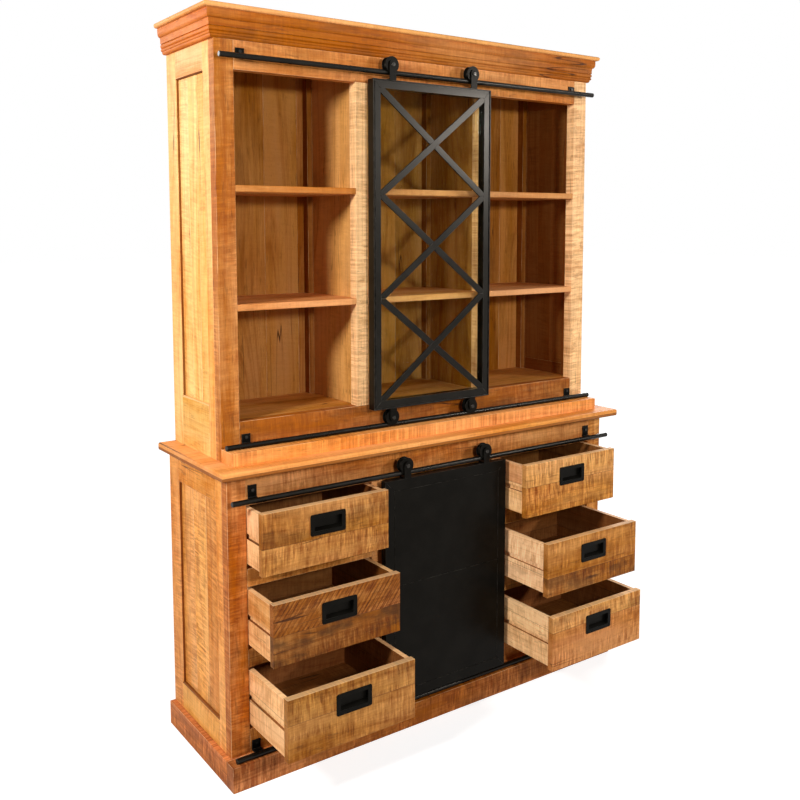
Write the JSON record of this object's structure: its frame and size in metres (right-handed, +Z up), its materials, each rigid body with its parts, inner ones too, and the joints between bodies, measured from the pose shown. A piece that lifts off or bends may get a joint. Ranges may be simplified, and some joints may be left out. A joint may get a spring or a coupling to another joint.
{
  "type": "dresser with hutch",
  "caption": "Wooden dresser with drawers and an open shelved hutch; a glazed door and a steel door roll on round rails across the fronts.",
  "frame": {"origin": "on the floor, under the middle of the plinth", "axes": "+X to the right along the front, +Y from the front to the wall, +Z up"},
  "size_m": [1.6, 0.699, 2.248],
  "materials": {
    "frame_wood": "sanded and waxed, saw marks left across the grain",
    "side_wood": "sanded and waxed",
    "pale_side_wood": "sanded and waxed",
    "crown_wood": "sanded and waxed",
    "plinth_wood": "sanded and waxed, saw marks left",
    "top_wood": "smooth, waxed",
    "shelf_wood": "smooth, waxed",
    "drawer_front_wood": "two boards, saw marks left",
    "drawer_box_wood": "plain planed",
    "inner_wood": "plain planed",
    "black_steel": "matt black powder coat",
    "bolt_steel": "black, semi-gloss",
    "pane_glass": "clear"
  },
  "bodies": {
    "cabinet": {"dresser_plinth": "plinth_wood", "dresser_face_frame": "frame_wood", "dresser_left_side": "side_wood", "dresser_right_side": "side_wood", "dresser_dividers": "inner_wood", "dresser_back": "inner_wood", "dresser_floor": "inner_wood", "dresser_shelf": "inner_wood", "dresser_top": "top_wood", "drawer_runners": "inner_wood", "hutch_base_strip": "top_wood", "hutch_face_frame": "frame_wood", "hutch_left_side": "pale_side_wood", "hutch_right_side": "pale_side_wood", "hutch_dividers": "inner_wood", "hutch_back": "inner_wood", "hutch_battens": "inner_wood", "hutch_floor": "inner_wood", "hutch_roof": "inner_wood", "hutch_shelves": "shelf_wood", "crown_moulding": "crown_wood", "crown_slab": "crown_wood", "hutch_rails": "black_steel", "dresser_rails": "black_steel", "rail_brackets": "black_steel", "rail_screws": "bolt_steel"},
    "glass_door": {"glass_door_frame": "black_steel", "glass_door_bars": "black_steel", "glass_door_pane": "pane_glass", "glass_door_hangers": "black_steel", "glass_door_bolts": "bolt_steel"},
    "glass_door_wheel_1": {"glass_door_wheel_1": "black_steel"},
    "glass_door_wheel_2": {"glass_door_wheel_2": "black_steel"},
    "glass_door_wheel_3": {"glass_door_wheel_3": "black_steel"},
    "glass_door_wheel_4": {"glass_door_wheel_4": "black_steel"},
    "steel_door": {"steel_door_frame": "black_steel", "steel_door_sheets": "black_steel", "steel_door_hangers": "black_steel", "steel_door_guides": "black_steel", "steel_door_bolts": "bolt_steel"},
    "steel_door_wheel_1": {"steel_door_wheel_1": "black_steel"},
    "steel_door_wheel_2": {"steel_door_wheel_2": "black_steel"},
    "drawer_left_1": {"drawer_left_1_front": "drawer_front_wood", "drawer_left_1_box": "drawer_box_wood", "drawer_left_1_pull": "black_steel"},
    "drawer_left_2": {"drawer_left_2_front": "drawer_front_wood", "drawer_left_2_box": "drawer_box_wood", "drawer_left_2_pull": "black_steel"},
    "drawer_left_3": {"drawer_left_3_front": "drawer_front_wood", "drawer_left_3_box": "drawer_box_wood", "drawer_left_3_pull": "black_steel"},
    "drawer_right_1": {"drawer_right_1_front": "drawer_front_wood", "drawer_right_1_box": "drawer_box_wood", "drawer_right_1_pull": "black_steel"},
    "drawer_right_2": {"drawer_right_2_front": "drawer_front_wood", "drawer_right_2_box": "drawer_box_wood", "drawer_right_2_pull": "black_steel"},
    "drawer_right_3": {"drawer_right_3_front": "drawer_front_wood", "drawer_right_3_box": "drawer_box_wood", "drawer_right_3_pull": "black_steel"}
  },
  "joints": [
    {"name": "drawer_left_1_slide", "type": "slide", "parent": "cabinet", "child": "drawer_left_1", "axis": [0, -1, 0], "range_m": [-0.095, 0.205]},
    {"name": "drawer_left_2_slide", "type": "slide", "parent": "cabinet", "child": "drawer_left_2", "axis": [0, -1, 0], "range_m": [-0.156, 0.144]},
    {"name": "drawer_left_3_slide", "type": "slide", "parent": "cabinet", "child": "drawer_left_3", "axis": [0, -1, 0], "range_m": [-0.233, 0.067]},
    {"name": "drawer_right_1_slide", "type": "slide", "parent": "cabinet", "child": "drawer_right_1", "axis": [0, -1, 0], "range_m": [-0.131, 0.169]},
    {"name": "drawer_right_2_slide", "type": "slide", "parent": "cabinet", "child": "drawer_right_2", "axis": [0, -1, 0], "range_m": [-0.239, 0.061]},
    {"name": "drawer_right_3_slide", "type": "slide", "parent": "cabinet", "child": "drawer_right_3", "axis": [0, -1, 0], "range_m": [-0.266, 0.034]},
    {"name": "glass_door_slide", "type": "slide", "parent": "cabinet", "child": "glass_door", "axis": [1, 0, 0], "range_m": [-0.455, 0.455]},
    {"name": "glass_door_wheel_1_spin", "type": "hinge", "parent": "glass_door", "child": "glass_door_wheel_1", "pos_m": [-0.164, -0.146, 2.129], "axis": [0, 1, 0], "range_deg": [-1631, 1631]},
    {"name": "glass_door_wheel_2_spin", "type": "hinge", "parent": "glass_door", "child": "glass_door_wheel_2", "pos_m": [0.164, -0.146, 2.129], "axis": [0, 1, 0], "range_deg": [-1631, 1631]},
    {"name": "glass_door_wheel_3_spin", "type": "hinge", "parent": "glass_door", "child": "glass_door_wheel_3", "pos_m": [-0.164, -0.146, 1.0125], "axis": [0, 1, 0], "range_deg": [-1631, 1631]},
    {"name": "glass_door_wheel_4_spin", "type": "hinge", "parent": "glass_door", "child": "glass_door_wheel_4", "pos_m": [0.164, -0.146, 1.0125], "axis": [0, 1, 0], "range_deg": [-1631, 1631]},
    {"name": "steel_door_slide", "type": "slide", "parent": "cabinet", "child": "steel_door", "axis": [1, 0, 0], "range_m": [-0.016, 0.016]},
    {"name": "steel_door_wheel_1_spin", "type": "hinge", "parent": "steel_door", "child": "steel_door_wheel_1", "pos_m": [-0.164, -0.224, 0.87], "axis": [0, 1, 0], "range_deg": [-59, 59]},
    {"name": "steel_door_wheel_2_spin", "type": "hinge", "parent": "steel_door", "child": "steel_door_wheel_2", "pos_m": [0.164, -0.224, 0.87], "axis": [0, 1, 0], "range_deg": [-59, 59]}
  ],
  "couplings": [
    {"joint": "glass_door_wheel_1_spin", "follows": "glass_door_slide", "rad_per_m": 62.5},
    {"joint": "glass_door_wheel_2_spin", "follows": "glass_door_slide", "rad_per_m": 62.5},
    {"joint": "glass_door_wheel_3_spin", "follows": "glass_door_slide", "rad_per_m": 62.5},
    {"joint": "glass_door_wheel_4_spin", "follows": "glass_door_slide", "rad_per_m": 62.5},
    {"joint": "steel_door_wheel_1_spin", "follows": "steel_door_slide", "rad_per_m": 62.5},
    {"joint": "steel_door_wheel_2_spin", "follows": "steel_door_slide", "rad_per_m": 62.5}
  ]
}
